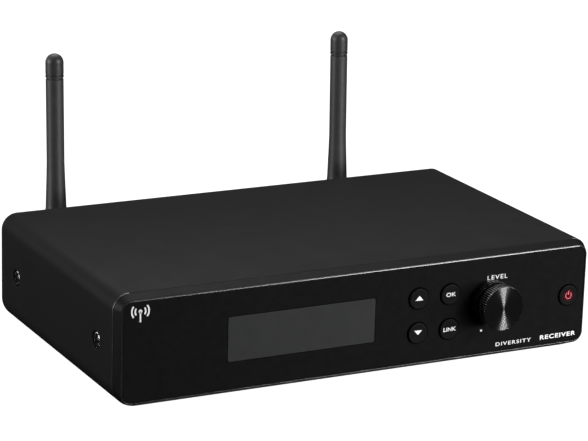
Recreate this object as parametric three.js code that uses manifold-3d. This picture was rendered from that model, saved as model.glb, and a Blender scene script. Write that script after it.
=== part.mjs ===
// Wireless microphone receiver: a half-rack housing with a display, five keys and a volume knob
// on its front, and two folding whip antennas plugged into its rear.
// Millimetres, +Z up. The front faces -Y, and the origin is the centre of the housing's underside.

import * as THREE from 'three';
import { ConvexGeometry } from 'three/addons/geometries/ConvexGeometry.js';
import { mergeVertices } from 'three/addons/utils/BufferGeometryUtils.js';
import Module from 'manifold-3d';

const wasm = await Module();
wasm.setup();

// ---------------------------------------------------------------- driving dimensions

const GAP = 0.3; // between two pieces that meet
const CORNER_STEPS = 3; // half the flats in a rounded rectangle's quarter turn
const ROUND = 20; // flats on a round piece
const SMALL_ROUND = 12; // flats on a thin pin or screw
const CHAMFER = 0.6;
const BEYOND = 120; // reaches past the whole housing, for cutters

const HOUSING = { width: 202, height: 43.8, depth: 117, corner: 6.4, lowerCorner: 9.4, wall: 2 };
const FRONT_Y = -HOUSING.depth / 2;
const REAR_Y = HOUSING.depth / 2;
const MID_Z = HOUSING.height / 2;

// The bezel slants from the sleeve's front edge in to the rim round the fascia.
const BEZEL = { depth: 3.8, step: 0.2, inset: 1.93, corner: 4.2, rim: 0.65, lipEnd: 8.2 };
const BEZEL_OPENING = { width: 193.6, height: 35, corner: 3 };
const FASCIA = { recess: 0.2, thickness: 1.8 };
const FASCIA_REAR = FASCIA.recess + FASCIA.thickness;

const WINDOW = { x: -25.65, z: 22.05, width: 61.7, height: 17.5, corner: 0.8, thickness: 1.5 };
const DISPLAY_MODULE = { width: 68, height: 24 };
const FRONT_BOARD = { front: 8.5, thickness: 1.6, width: 190, height: 33.8, corner: 4 };

const KEY = { radius: 4.2, proud: 0.5, flange: 4.7, flangeThickness: 0.8, stem: 1.2, stemEnd: 5.6 };
const KEYS = {
  up: { x: 23.8, z: 28.4 },
  down: { x: 23.8, z: 14.6 },
  enter: { x: 37.65, z: 28.5 },
  link: { x: 37.65, z: 14.5 },
  power: { x: 91.3, z: 21.8 },
};
const SWITCH = { size: 6, front: 5, boreDepth: 2.6 };

const KNOB = { x: 55.8, z: 23.5, radius: 8.8, length: 10, clearance: 0.4, flats: 28 };
const KNOB_SKIRT = { bore: 7.2, depth: 2.4 };
const KNOB_GROOVE = { front: -5.6, rear: -4.2, depth: 0.6, slope: 0.2 };
const SHAFT = { radius: 3, front: -8, rear: 2 };
const BUSH = { radius: 4.3, front: -2.1 };
const VOLUME_CONTROL = { size: 12, front: 3 };
const VOLUME_NUT = { radius: 6.2, thickness: 1.5 };

const SIDE_SCREW = {
  front: -39.1, rear: 41.9, z: 21.8, head: 2.9, sunk: 0.35, seat: 1.25, shank: 1.5, length: 6,
};
const SCREW_RECESS = { radius: 3.5, depth: 1.4 };

const SHEET = 1.5; // thickness of the tray and of the rear panel
const TRAY = { front: -46, height: 33, rearFlange: 9.2, standoffHeight: 5, standoff: 3 };
const STANDOFFS = { x: 80, front: -38, rear: 30 };
const MAIN_BOARD = { width: 176, front: -43, rear: 36, thickness: 1.6 };
const SHIELD = { x: 55, y: 12, width: 44, length: 36, height: 8, wall: 0.8 };
const RIBBON = { width: 26, thickness: 0.9, x: -12, top: 21, reach: 9, radius: 5, bendSteps: 5 };

// On the rear, distances along Y are counted outwards from the sleeve's rear edge.
const PANEL_FACE = -1.5;
const PANEL_BACK = PANEL_FACE - SHEET;
const CONNECTOR_Z = 22;
const REAR_SCREW = { x: 80, z: 6.3, head: 2.6, headThickness: 1.4, shank: 1.4, length: 5 };
const FLANGE_THICKNESS = 2; // of the balanced output and of the nuts beside it
const SOCKET_FLOOR = 3; // closed end of a jack or inlet
const BALANCED = { x: 30, flangeWidth: 26, flangeHeight: 31, corner: 3, cup: 11.3, bore: 9.7, depth: 20 };
const BALANCED_INSERT = { floor: 0.5, thickness: 6 };
const BALANCED_PIN = { circle: 5.7, radius: 1.2, front: -2, rear: -21 };
const LINE_JACK = { x: 4, width: 14, height: 16, rear: -27, bush: 5.4, bushProud: 0.8, bore: 3.25, nut: 8 };
const DATA_SOCKET = { x: -18, width: 14, height: 13.4, rear: -16, openWidth: 10, openHeight: 7.5 };
const DATA_LATCH = { width: 4, height: 2 };
const DC_INLET = { x: -37, width: 9.4, height: 11, rear: -15, bore: 2.9, pin: 1, pinFront: -2.2 };
const CABLE_GRIP = { x: -49, z: 14, width: 4, reach: 11, foot: 5, hook: 7, thickness: 1.6 };

const ANTENNA_X = 65.6;
const JACK = { thread: 6, threadEnd: 2, barrel: 4.8, bore: 3.7, reach: 11.5, flange: 7.6, tail: 4 };
const JACK_NUT = { radius: 8.4, thickness: 2.6 };
const LUG = { radius: 0.9, end: 5.6, behindMouth: 2.5 };
const CONTACT = { tail: 6, tailRadius: 1, seat: 3.5, sleeveEnd: 5, pin: 1.1, pinEnd: 1 };
const RING = { radius: 7.4, bore: 5.9, front: 3.4, rear: 15, wall: 2 };
const ELBOW = { collar: 5.6, neck: 4.6, body: 7, bodyEnd: 23.5, cheek: 5.2, cheekWidth: 2.8 };
const HINGE = { y: 29.8, pin: 1.5, pinProud: 0.3, knuckle: 4.8, knuckleWidth: 6 };
const WHIP = { root: 5.15, shoulder: 5.6, rootEnd: 8.5, mid: 4.25, midHeight: 15, radius: 3.68, top: 32 };
const WHIP_LEAN = 2; // degrees back from upright, at rest
const WHIP_TIP = { height: 77.5, radius: 3.75, length: 9.9 };
const WHIP_NECK = 8.4; // of the flat part between the knuckle and the shoulder, along Y

// ---------------------------------------------------------------- materials

function finish(color, roughness, metalness = 0) {
  return new THREE.MeshStandardMaterial({ color, roughness, metalness });
}

const sleevePaint = () => finish(0x2c2b2e, 0.62, 0.1);
const bezelPlastic = () => finish(0x333336, 0.45);
const fasciaPlastic = () => finish(0x161617, 0.5);
const displayGrey = () => finish(0x3a3b3e, 0.2);
const keyRubber = () => finish(0x1d1d1f, 0.65);
const knobPlastic = () => finish(0x0b0b0c, 0.35);
const antennaRubber = () => finish(0x2b2b2d, 0.5);
const blackPlastic = () => finish(0x151516, 0.5);
const boardGreen = () => finish(0x1f4a2c, 0.55);
const tinPlate = () => finish(0xb4b6b8, 0.35, 0.9);
const nickel = () => finish(0xbfc0be, 0.25, 1);
const blackSteel = () => finish(0x1a1a1b, 0.4, 0.8);
const gold = () => finish(0xc9a24a, 0.3, 1);
const cableGrey = () => finish(0x8b8d90, 0.6);

// ---------------------------------------------------------------- solids from three.js geometry

function solid(geometry) {
  const bare = geometry.index ? geometry.toNonIndexed() : geometry.clone();
  bare.deleteAttribute('normal');
  bare.deleteAttribute('uv');
  const merged = mergeVertices(bare);
  const corners = merged.index.array;
  const triangles = [];
  for (let i = 0; i < corners.length; i += 3) {
    const [a, b, c] = corners.subarray(i, i + 3);
    if (a !== b && b !== c && c !== a) triangles.push(a, b, c);
  }
  const mesh = new wasm.Mesh({
    numProp: 3,
    vertProperties: new Float32Array(merged.attributes.position.array),
    triVerts: new Uint32Array(triangles),
  });
  return new wasm.Manifold(mesh);
}

function join(first, ...others) {
  return others.reduce((whole, other) => whole.add(other), first);
}

function cut(first, ...others) {
  return others.reduce((rest, other) => rest.subtract(other), first);
}

function mesh(name, shape, material) {
  const result = shape.getMesh();
  const geometry = new THREE.BufferGeometry();
  geometry.setAttribute('position', new THREE.BufferAttribute(result.vertProperties, 3));
  geometry.setIndex(new THREE.BufferAttribute(result.triVerts, 1));
  geometry.computeVertexNormals();
  const part = new THREE.Mesh(geometry, material);
  part.name = name;
  return part;
}

function group(x, y, z, ...children) {
  const holder = new THREE.Group();
  holder.position.set(x, y, z);
  holder.add(...children);
  return holder;
}

// A block between two corners.
function block([x0, y0, z0], [x1, y1, z1]) {
  const geometry = new THREE.BoxGeometry(x1 - x0, y1 - y0, z1 - z0);
  geometry.translate((x0 + x1) / 2, (y0 + y1) / 2, (z0 + z1) / 2);
  return solid(geometry);
}

// A block centred on (x, z) that runs along Y from y0 to y1.
function bar(width, height, y0, y1, x = 0, z = 0) {
  return block([x - width / 2, y0, z - height / 2], [x + width / 2, y1, z + height / 2]);
}

// A block centred on the Z axis, between two heights.
function slab(width, length, z0, z1) {
  return block([-width / 2, -length / 2, z0], [width / 2, length / 2, z1]);
}

// A round rod along Y, or a prism when it has few sides.
function rod(radius, y0, y1, x = 0, z = 0, sides = ROUND) {
  const geometry = new THREE.CylinderGeometry(radius, radius, y1 - y0, sides);
  geometry.translate(x, (y0 + y1) / 2, z);
  return solid(geometry);
}

// A round rod along X.
function crossRod(radius, x0, x1, y = 0, z = 0, sides = ROUND) {
  const geometry = new THREE.CylinderGeometry(radius, radius, x1 - x0, sides);
  geometry.rotateZ(Math.PI / 2);
  geometry.translate((x0 + x1) / 2, y, z);
  return solid(geometry);
}

// A turned piece about the Y axis, from [radius, y] points that start and end on the axis.
function turned(profile, sides = ROUND) {
  return solid(new THREE.LatheGeometry(profile.map(([r, y]) => new THREE.Vector2(r, y)), sides));
}

// A turned piece about the Z axis, from [radius, z] points that start and end on the axis.
function upright(profile, sides = ROUND) {
  const points = profile.map(([r, z]) => new THREE.Vector2(r, z));
  return solid(new THREE.LatheGeometry(points, sides).rotateX(Math.PI / 2));
}

function roundedRectangle(width, height, radius, x = 0, z = MID_Z, lowerRadius = radius) {
  const [right, top] = [width / 2 - radius, height / 2 - radius];
  const [lowerRight, bottom] = [width / 2 - lowerRadius, height / 2 - lowerRadius];
  const shape = new THREE.Shape();
  shape.absarc(x + right, z + top, radius, 0, Math.PI / 2);
  shape.absarc(x - right, z + top, radius, Math.PI / 2, Math.PI);
  shape.absarc(x - lowerRight, z - bottom, lowerRadius, Math.PI, Math.PI * 1.5);
  shape.absarc(x + lowerRight, z - bottom, lowerRadius, Math.PI * 1.5, Math.PI * 2);
  shape.closePath();
  return shape;
}

// A shape drawn in X and Z, extruded along Y from y0 to y1.
function plate(shape, y0, y1, curveSegments = CORNER_STEPS) {
  const geometry = new THREE.ExtrudeGeometry(shape, { depth: y1 - y0, bevelEnabled: false, curveSegments });
  geometry.rotateX(Math.PI / 2);
  geometry.translate(0, y1, 0);
  return solid(geometry);
}

// A shape drawn in Y and Z, extruded along X from x0 to x1.
function sidePlate(points, x0, x1) {
  const shape = new THREE.Shape(points.map(([y, z]) => new THREE.Vector2(y, z)));
  const geometry = new THREE.ExtrudeGeometry(shape, { depth: x1 - x0, bevelEnabled: false });
  geometry.rotateY(Math.PI / 2);
  geometry.rotateX(Math.PI / 2);
  geometry.translate(x0, 0, 0);
  return solid(geometry);
}

// The convex solid between one rounded rectangle at y0 and another at y1.
function tapered(firstShape, y0, secondShape, y1) {
  const points = [[firstShape, y0], [secondShape, y1]].flatMap(([shape, y]) => (
    shape.getPoints(CORNER_STEPS).map((point) => new THREE.Vector3(point.x, y, point.y))
  ));
  return solid(new ConvexGeometry(points));
}

// ---------------------------------------------------------------- housing

function sleeveSection(shrink = 0) {
  const { width, height, corner, lowerCorner } = HOUSING;
  const inside = 2 * shrink;
  return roundedRectangle(width - inside, height - inside, corner - shrink, 0, MID_Z, lowerCorner - shrink);
}

function housingSleeve() {
  const front = FRONT_Y + BEZEL.depth;
  const tube = cut(
    plate(sleeveSection(), front, REAR_Y),
    plate(sleeveSection(HOUSING.wall), front - 1, REAR_Y + 1),
  );
  const face = HOUSING.width / 2;
  const { z, shank } = SIDE_SCREW;
  const { radius, depth } = SCREW_RECESS;
  const cutters = [SIDE_SCREW.front, SIDE_SCREW.rear].flatMap((place) => [
    crossRod(shank + GAP, -BEYOND, BEYOND, place, z, SMALL_ROUND),
    crossRod(radius, face - depth, BEYOND, place, z),
    crossRod(radius, -BEYOND, depth - face, place, z),
  ]);
  return mesh('housing_sleeve', cut(tube, ...cutters), sleevePaint());
}

// A folded steel tray: a U section that follows the inside of the sleeve, with a rear flange.
function chassisTray() {
  const outer = HOUSING.wall + GAP;
  const rear = REAR_Y + PANEL_BACK - GAP;
  const top = outer + TRAY.height;
  const open = block([-BEYOND, TRAY.front - 1, top], [BEYOND, rear + 1, BEYOND]);
  const trough = cut(
    plate(sleeveSection(outer), TRAY.front, rear),
    plate(sleeveSection(outer + SHEET), TRAY.front - 1, rear + 1),
    open,
  );
  const flange = cut(
    plate(sleeveSection(outer + SHEET / 2), rear - SHEET, rear),
    block([-BEYOND, rear - SHEET - 1, TRAY.rearFlange], [BEYOND, rear + 1, BEYOND]),
  );
  const floor = outer + SHEET;
  const posts = [];
  for (const x of [-STANDOFFS.x, STANDOFFS.x]) {
    for (const y of [STANDOFFS.front, STANDOFFS.rear]) {
      const post = upright([
        [0, floor - 1],
        [TRAY.standoff, floor - 1],
        [TRAY.standoff, floor + TRAY.standoffHeight],
        [0, floor + TRAY.standoffHeight],
      ], SMALL_ROUND);
      posts.push(post.translate(x, y, 0));
    }
  }
  const holes = [];
  for (const y of [SIDE_SCREW.front, SIDE_SCREW.rear]) {
    holes.push(crossRod(SIDE_SCREW.shank + GAP, -BEYOND, BEYOND, y, SIDE_SCREW.z, SMALL_ROUND));
  }
  for (const x of [-REAR_SCREW.x, REAR_SCREW.x]) {
    holes.push(rod(REAR_SCREW.shank + GAP, rear - 2 * SHEET, rear + 1, x, REAR_SCREW.z, SMALL_ROUND));
  }
  return mesh('chassis_tray', cut(join(trough, flange, ...posts), ...holes), tinPlate());
}

function sideScrews() {
  const face = HOUSING.width / 2 - SIDE_SCREW.sunk;
  const seat = HOUSING.width / 2 - SIDE_SCREW.seat;
  const screws = [];
  for (const [side, sideName] of [[-1, 'left'], [1, 'right']]) {
    for (const [y, endName] of [[SIDE_SCREW.front, 'front'], [SIDE_SCREW.rear, 'rear']]) {
      const profile = [
        [0, -face],
        [SIDE_SCREW.head - 0.4, -face],
        [SIDE_SCREW.head, -face + 0.3],
        [SIDE_SCREW.head, -seat],
        [SIDE_SCREW.shank, -seat],
        [SIDE_SCREW.shank, -seat + SIDE_SCREW.length],
        [0, -seat + SIDE_SCREW.length],
      ];
      const screw = mesh(`side_screw_${sideName}_${endName}`, turned(profile, SMALL_ROUND), blackSteel());
      screw.rotation.z = side > 0 ? Math.PI / 2 : -Math.PI / 2;
      screw.position.set(0, y, SIDE_SCREW.z);
      screws.push(screw);
    }
  }
  return screws;
}

// ---------------------------------------------------------------- inside the housing

function mainBoard() {
  const bottom = HOUSING.wall + GAP + SHEET + TRAY.standoffHeight + GAP;
  const half = MAIN_BOARD.width / 2;
  const board = block([-half, MAIN_BOARD.front, 0], [half, MAIN_BOARD.rear, MAIN_BOARD.thickness]);
  const top = MAIN_BOARD.thickness + GAP;
  const pieces = [mesh('main_board', board, boardGreen())];
  for (const [side, name] of [[-1, 'left'], [1, 'right']]) {
    const can = slab(SHIELD.width, SHIELD.length, top, top + SHIELD.height);
    const inside = slab(
      SHIELD.width - 2 * SHIELD.wall,
      SHIELD.length - 2 * SHIELD.wall,
      top - 1,
      top + SHIELD.height - SHIELD.wall,
    );
    const shield = mesh(`tuner_shield_${name}`, cut(can, inside), tinPlate());
    shield.position.set(side * SHIELD.x, SHIELD.y, 0);
    pieces.push(shield);
  }
  pieces.push(ribbonCable(top));
  return group(0, 0, bottom, ...pieces);
}

// The flat cable leaves the front board backwards and bends down to the main board.
function ribbonCable(bottom) {
  const start = FRONT_Y + FRONT_BOARD.front + FRONT_BOARD.thickness + GAP;
  const { radius, reach, thickness, top, bendSteps } = RIBBON;
  const bend = (size) => Array.from({ length: bendSteps + 1 }, (_, i) => {
    const angle = (Math.PI / 2) * (i / bendSteps);
    return [start + reach - radius + size * Math.sin(angle), top - radius + size * Math.cos(angle)];
  });
  const points = [
    [start, top],
    ...bend(radius),
    [start + reach, bottom],
    [start + reach - thickness, bottom],
    ...bend(radius - thickness).reverse(),
    [start, top - thickness],
  ];
  const half = RIBBON.width / 2;
  return mesh('ribbon_cable', sidePlate(points, RIBBON.x - half, RIBBON.x + half), cableGrey());
}

// ---------------------------------------------------------------- front
// Here y is counted back from the face.

function fasciaOutline(gap) {
  const margin = 2 * (BEZEL.inset + BEZEL.rim + gap);
  return roundedRectangle(HOUSING.width - margin, HOUSING.height - margin, BEZEL.corner - BEZEL.rim);
}

function frontBezel() {
  const { width, height } = HOUSING;
  const { depth, step, inset, corner, lipEnd } = BEZEL;
  const faceShape = roundedRectangle(width - 2 * inset, height - 2 * inset, corner);
  const body = join(
    tapered(faceShape, 0, sleeveSection(step), depth - 0.01),
    plate(sleeveSection(HOUSING.wall + GAP), depth - 0.02, lipEnd),
  );
  const pocket = plate(fasciaOutline(0), -1, FASCIA_REAR + GAP);
  const opening = BEZEL_OPENING;
  const throat = plate(roundedRectangle(opening.width, opening.height, opening.corner), -1, lipEnd + 1);
  return mesh('front_bezel', cut(body, pocket, throat), bezelPlastic());
}

function fascia() {
  const panel = plate(fasciaOutline(GAP / 2), FASCIA.recess, FASCIA_REAR);
  const { x, z, width, height, corner } = WINDOW;
  const [y0, y1] = [FASCIA.recess - 1, FASCIA_REAR + 1];
  const holes = [plate(roundedRectangle(width + GAP, height + GAP, corner, x, z), y0, y1, 2)];
  for (const key of Object.values(KEYS)) {
    holes.push(rod(KEY.radius + GAP, y0, y1, key.x, key.z));
  }
  holes.push(rod(BUSH.radius + GAP, y0, y1, KNOB.x, KNOB.z));
  return mesh('fascia', cut(panel, ...holes), fasciaPlastic());
}

function display() {
  const { x, z, width, height, corner, thickness } = WINDOW;
  const outline = roundedRectangle(width, height, corner, x, z);
  const glass = plate(outline, FASCIA.recess, FASCIA.recess + thickness, 2);
  const module = bar(
    DISPLAY_MODULE.width,
    DISPLAY_MODULE.height,
    FASCIA_REAR + GAP,
    FRONT_BOARD.front - GAP,
    x,
    z,
  );
  return [
    mesh('display_window', glass, displayGrey()),
    mesh('display_module', module, tinPlate()),
  ];
}

function frontBoard() {
  const { front, thickness, width, height, corner } = FRONT_BOARD;
  const board = plate(roundedRectangle(width, height, corner), front, front + thickness, 1);
  return mesh('front_board', board, boardGreen());
}

// A round key with a flange behind the fascia and a stem that reaches into its switch. The key travels
// 0.7 mm, which the flange, the stem and the switch's bore leave room for.
function key(name, place) {
  const flangeFront = FASCIA_REAR + GAP;
  const flangeRear = flangeFront + KEY.flangeThickness;
  const cap = turned([
    [0, -KEY.proud],
    [KEY.radius - CHAMFER, -KEY.proud],
    [KEY.radius, CHAMFER - KEY.proud],
    [KEY.radius, flangeFront],
    [KEY.flange, flangeFront],
    [KEY.flange, flangeRear],
    [KEY.stem, flangeRear],
    [KEY.stem, KEY.stemEnd],
    [0, KEY.stemEnd],
  ]);
  const body = cut(
    bar(SWITCH.size, SWITCH.size, SWITCH.front, FRONT_BOARD.front - GAP),
    rod(KEY.stem + GAP, SWITCH.front - 1, SWITCH.front + SWITCH.boreDepth, 0, 0, SMALL_ROUND),
  );
  return group(
    place.x,
    0,
    place.z,
    mesh(`${name}_key`, cap, keyRubber()),
    mesh(`${name}_switch`, body, blackPlastic()),
  );
}

function volumeKnob() {
  const { radius, length } = KNOB;
  const skirt = KNOB_SKIRT;
  const rear = FASCIA.recess - KNOB.clearance;
  const shaftBore = SHAFT.radius + GAP;
  const floor = radius - KNOB_GROOVE.depth;
  return turned([
    [0, -length],
    [radius - CHAMFER, -length],
    [radius, CHAMFER - length],
    [radius, KNOB_GROOVE.front],
    [floor, KNOB_GROOVE.front + KNOB_GROOVE.slope],
    [floor, KNOB_GROOVE.rear - KNOB_GROOVE.slope],
    [radius, KNOB_GROOVE.rear],
    [radius, rear],
    [skirt.bore, rear],
    [skirt.bore, rear - skirt.depth],
    [shaftBore, rear - skirt.depth],
    [shaftBore, SHAFT.front - GAP],
    [0, SHAFT.front - GAP],
  ], KNOB.flats);
}

function hexNut(radius, bore, y0, y1) {
  return cut(rod(radius, y0, y1, 0, 0, 6), rod(bore, y0 - 1, y1 + 1));
}

function volume() {
  const rear = FRONT_BOARD.front - GAP;
  const shaft = rod(SHAFT.radius, SHAFT.front, SHAFT.rear);
  const control = cut(
    join(
      bar(VOLUME_CONTROL.size, VOLUME_CONTROL.size, VOLUME_CONTROL.front, rear),
      rod(BUSH.radius, BUSH.front, VOLUME_CONTROL.front + 1),
    ),
    rod(SHAFT.radius + GAP, BUSH.front - 1, SHAFT.rear + GAP),
  );
  const nutRear = FASCIA.recess - GAP;
  const nut = hexNut(VOLUME_NUT.radius, BUSH.radius + GAP, nutRear - VOLUME_NUT.thickness, nutRear);
  return group(
    KNOB.x,
    0,
    KNOB.z,
    mesh('volume_knob', volumeKnob(), knobPlastic()),
    mesh('volume_shaft', shaft, nickel()),
    mesh('volume_control', control, tinPlate()),
    mesh('volume_nut', nut, nickel()),
  );
}

// ---------------------------------------------------------------- rear
// Here y is counted outwards from the sleeve's rear edge.

function rearPanel() {
  const panel = plate(sleeveSection(HOUSING.wall + GAP), PANEL_BACK, PANEL_FACE);
  const [y0, y1] = [PANEL_BACK - 1, PANEL_FACE + 1];
  const holes = [
    rod(BALANCED.cup + GAP, y0, y1, BALANCED.x, CONNECTOR_Z, 32),
    rod(LINE_JACK.bush + GAP, y0, y1, LINE_JACK.x, CONNECTOR_Z),
    bar(DATA_SOCKET.width + 2 * GAP, DATA_SOCKET.height + 2 * GAP, y0, y1, DATA_SOCKET.x, CONNECTOR_Z),
    bar(DC_INLET.width + 2 * GAP, DC_INLET.height + 2 * GAP, y0, y1, DC_INLET.x, CONNECTOR_Z),
  ];
  for (const x of [-ANTENNA_X, ANTENNA_X]) {
    holes.push(rod(JACK.thread + GAP, y0, y1, x, CONNECTOR_Z));
  }
  for (const x of [-REAR_SCREW.x, REAR_SCREW.x]) {
    holes.push(rod(REAR_SCREW.shank + GAP, y0, y1, x, REAR_SCREW.z, SMALL_ROUND));
  }
  return mesh('rear_panel', cut(panel, ...holes), blackSteel());
}

function rearScrews() {
  const seat = PANEL_FACE + GAP;
  const top = seat + REAR_SCREW.headThickness;
  return [[-1, 'left'], [1, 'right']].map(([side, name]) => {
    const shape = turned([
      [0, seat - REAR_SCREW.length],
      [REAR_SCREW.shank, seat - REAR_SCREW.length],
      [REAR_SCREW.shank, seat],
      [REAR_SCREW.head, seat],
      [REAR_SCREW.head, top - 0.4],
      [REAR_SCREW.head - 0.5, top],
      [0, top],
    ], SMALL_ROUND);
    const screw = mesh(`rear_screw_${name}`, shape, blackSteel());
    screw.position.set(side * REAR_SCREW.x, 0, REAR_SCREW.z);
    return screw;
  });
}

// Three-pole balanced output: a flanged cup with an insert near its floor and three round pins.
function balancedOutput() {
  const flange = PANEL_FACE + GAP;
  const mouth = flange + FLANGE_THICKNESS;
  const { flangeWidth, flangeHeight, corner, cup, bore, depth } = BALANCED;
  const shell = cut(
    join(
      plate(roundedRectangle(flangeWidth, flangeHeight, corner, 0, 0), flange, mouth, 1),
      rod(cup, mouth - depth, mouth - 1, 0, 0, 32),
    ),
    rod(bore, mouth - depth - 1, mouth + 1, 0, 0, 32),
  );
  const pinPlaces = [-60, 60, 180].map((degrees) => {
    const angle = THREE.MathUtils.degToRad(degrees);
    return [BALANCED_PIN.circle * Math.sin(angle), BALANCED_PIN.circle * Math.cos(angle)];
  });
  const floor = mouth - depth;
  const hole = BALANCED_PIN.radius + GAP;
  const insertRear = floor + BALANCED_INSERT.floor;
  const insertFront = insertRear + BALANCED_INSERT.thickness;
  const pinHoles = pinPlaces.map(([x, z]) => rod(hole, floor - 1, insertFront + 1, x, z, SMALL_ROUND));
  const insert = cut(rod(bore - GAP, insertRear, insertFront, 0, 0, 32), ...pinHoles);
  const pins = pinPlaces.map(([x, z], index) => {
    const { radius, rear, front } = BALANCED_PIN;
    const shape = turned([
      [0, rear],
      [radius, rear],
      [radius, front - CHAMFER],
      [radius - CHAMFER, front],
      [0, front],
    ], SMALL_ROUND);
    const pin = mesh(`balanced_output_pin_${index + 1}`, shape, nickel());
    pin.position.set(x, 0, z);
    return pin;
  });
  return group(
    BALANCED.x,
    0,
    CONNECTOR_Z,
    mesh('balanced_output_shell', shell, nickel()),
    mesh('balanced_output_insert', insert, blackPlastic()),
    ...pins,
  );
}

function lineOutput() {
  const { width, height, rear, bush, bushProud, bore, nut } = LINE_JACK;
  const nutBack = PANEL_FACE + GAP;
  const nutFront = nutBack + FLANGE_THICKNESS;
  const jack = cut(
    join(bar(width, height, rear, PANEL_BACK - GAP), rod(bush, PANEL_BACK - 1, nutFront + bushProud)),
    rod(bore, rear + SOCKET_FLOOR, nutFront + 2 * bushProud),
  );
  return group(
    LINE_JACK.x,
    0,
    CONNECTOR_Z,
    mesh('line_output_jack', jack, blackPlastic()),
    mesh('line_output_nut', hexNut(nut, bush + GAP, nutBack, nutFront), nickel()),
  );
}

function dataSocket() {
  const { x, width, height, rear, openWidth, openHeight } = DATA_SOCKET;
  const floor = rear + SOCKET_FLOOR;
  const latch = DATA_LATCH;
  const socket = cut(
    bar(width, height, rear, PANEL_FACE + GAP),
    bar(openWidth, openHeight, floor, 1),
    bar(latch.width, latch.height, floor, 1, 0, openHeight / 2 + latch.height / 2 - 0.1),
  );
  return group(x, 0, CONNECTOR_Z, mesh('data_socket', socket, blackPlastic()));
}

function dcInlet() {
  const { x, width, height, rear, bore, pin, pinFront } = DC_INLET;
  const inlet = cut(
    bar(width, height, rear, PANEL_FACE + GAP),
    rod(bore, rear + SOCKET_FLOOR, 1),
    rod(pin + GAP, rear - 1, rear + SOCKET_FLOOR + 1, 0, 0, SMALL_ROUND),
  );
  const contact = rod(pin, rear, pinFront, 0, 0, SMALL_ROUND);
  return group(
    x,
    0,
    CONNECTOR_Z,
    mesh('dc_inlet', inlet, blackPlastic()),
    mesh('dc_inlet_pin', contact, nickel()),
  );
}

// A hook that the power lead is looped round, so that a tug doesn't reach the inlet.
function cableGrip() {
  const { x, z, width, reach, foot, hook, thickness } = CABLE_GRIP;
  const back = PANEL_FACE + GAP;
  const outline = [
    [back, -foot],
    [back + thickness, -foot],
    [back + thickness, 0],
    [reach, 0],
    [reach, hook],
    [reach - thickness, hook],
    [reach - thickness, thickness],
    [back, thickness],
  ];
  return group(x, 0, z, mesh('cable_grip', sidePlate(outline, -width / 2, width / 2), blackSteel()));
}

// ---------------------------------------------------------------- antennas
// Here too y is counted outwards from the sleeve's rear edge.

function antennaJack(side) {
  const inside = PANEL_BACK - GAP;
  const { thread, threadEnd, barrel, bore, reach, flange, tail } = JACK;
  const body = cut(
    join(
      turned([
        [0, inside - tail],
        [thread, inside - tail],
        [thread, inside - tail / 2],
        [flange, inside - tail / 2],
        [flange, inside],
        [thread, inside],
        [thread, threadEnd],
        [barrel, threadEnd + 0.4],
        [barrel, reach],
        [0, reach],
      ]),
      crossRod(LUG.radius, -LUG.end, LUG.end, reach - LUG.behindMouth, 0, 8),
    ),
    rod(bore, inside - tail - 1, reach + 1),
  );
  const contact = turned([
    [0, inside - CONTACT.tail],
    [CONTACT.tailRadius, inside - CONTACT.tail],
    [CONTACT.tailRadius, inside - CONTACT.seat],
    [bore - GAP, inside - CONTACT.seat],
    [bore - GAP, reach - CONTACT.sleeveEnd],
    [CONTACT.pin, reach - CONTACT.sleeveEnd],
    [CONTACT.pin, reach - CONTACT.pinEnd],
    [0, reach - CONTACT.pinEnd],
  ], SMALL_ROUND);
  const nutBack = PANEL_FACE + GAP;
  const nut = hexNut(JACK_NUT.radius, thread + GAP, nutBack, nutBack + JACK_NUT.thickness);
  return [
    mesh(`antenna_jack_${side}`, body, nickel()),
    mesh(`antenna_contact_${side}`, contact, gold()),
    mesh(`antenna_jack_nut_${side}`, nut, nickel()),
  ];
}

function bayonetRing(side) {
  const { radius, bore, front, rear, wall } = RING;
  const ring = cut(
    turned([
      [0, front],
      [radius - CHAMFER, front],
      [radius, front + CHAMFER],
      [radius, rear - CHAMFER],
      [radius - CHAMFER, rear],
      [0, rear],
    ]),
    rod(bore, front - 1, rear - wall),
    rod(ELBOW.neck + GAP, front - 1, rear + 1),
  );
  return mesh(`bayonet_ring_${side}`, ring, nickel());
}

// The elbow turns in the ring, and ends in a fork whose two cheeks carry the hinge pin.
function antennaElbow(side) {
  const collarFront = JACK.reach + GAP;
  const collarRear = RING.rear - RING.wall - GAP;
  const { collar, neck, body, bodyEnd, cheek, cheekWidth } = ELBOW;
  const inner = HINGE.knuckleWidth / 2 + GAP;
  const outer = inner + cheekWidth;
  const stem = turned([
    [0, collarFront],
    [collar, collarFront],
    [collar, collarRear],
    [neck, collarRear],
    [neck, RING.rear + GAP],
    [body - CHAMFER, RING.rear + GAP],
    [body, RING.rear + GAP + CHAMFER],
    [body, bodyEnd - CHAMFER],
    [body - CHAMFER, bodyEnd],
    [0, bodyEnd],
  ]);
  const fork = join(
    block([-outer, bodyEnd - cheekWidth, -cheek], [outer, HINGE.y, cheek]),
    crossRod(cheek, -outer, outer, HINGE.y, 0),
  );
  const slotFloor = HINGE.y - HINGE.knuckle - 2 * GAP;
  const elbow = cut(
    join(stem, fork),
    block([-inner, slotFloor, -BEYOND], [inner, BEYOND, BEYOND]),
    crossRod(HINGE.pin + GAP, -BEYOND, BEYOND, HINGE.y, 0, SMALL_ROUND),
  );
  return mesh(`antenna_elbow_${side}`, elbow, antennaRubber());
}

function hingePin(side) {
  const end = HINGE.knuckleWidth / 2 + GAP + ELBOW.cheekWidth + HINGE.pinProud;
  return mesh(`hinge_pin_${side}`, crossRod(HINGE.pin, -end, end, HINGE.y, 0, SMALL_ROUND), blackSteel());
}

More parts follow.
